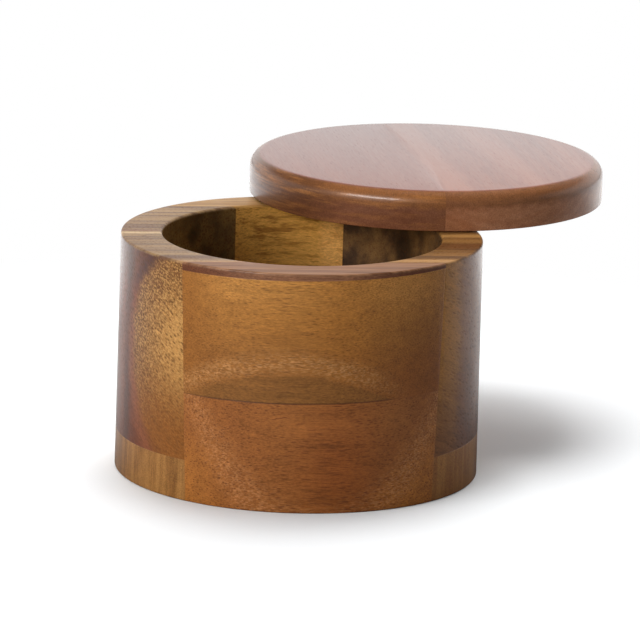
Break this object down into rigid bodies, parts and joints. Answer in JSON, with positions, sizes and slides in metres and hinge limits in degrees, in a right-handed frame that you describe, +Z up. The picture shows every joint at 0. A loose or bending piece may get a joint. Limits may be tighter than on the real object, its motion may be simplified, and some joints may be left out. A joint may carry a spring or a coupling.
{
  "type": "wooden spice box",
  "caption": "Round turned wooden keeper for salt or spice: a bored ring of glued boards with a thick flat lid that swings sideways on a hidden upright pin.",
  "frame": {"origin": "middle of the underside, on the axis of the bore", "axes": "+Z up out of the bore, -Y towards the front slab, the pin stands at the back, towards +Y"},
  "size_m": [0.1613, 0.1765, 0.0882],
  "materials": {
    "reddish_board": "satin varnish",
    "golden_board": "satin varnish",
    "dark_strip": "satin varnish",
    "brown_board": "satin varnish",
    "golden_back_board": "satin varnish",
    "pale_side_block": "satin varnish",
    "grey_brown_side_block": "satin varnish",
    "base_board": "satin varnish",
    "lid_light_board": "satin varnish",
    "lid_dark_board": "satin varnish",
    "pin_steel": "ground"
  },
  "bodies": {
    "box": {"front_lower_board": "reddish_board", "front_upper_board": "golden_board", "front_top_strip": "dark_strip", "back_lower_board": "brown_board", "back_upper_board": "golden_back_board", "left_side_block": "pale_side_block", "right_side_block": "grey_brown_side_block", "base_board": "base_board", "pivot_pin": "pin_steel"},
    "lid": {"lid_front_board": "lid_light_board", "lid_back_board": "lid_dark_board"}
  },
  "joints": [
    {"name": "lid_swivel", "type": "hinge", "parent": "box", "child": "lid", "pos_m": [-0.00356, 0.05088, 0.0755], "axis": [0, 0, -1], "continuous": true}
  ]
}
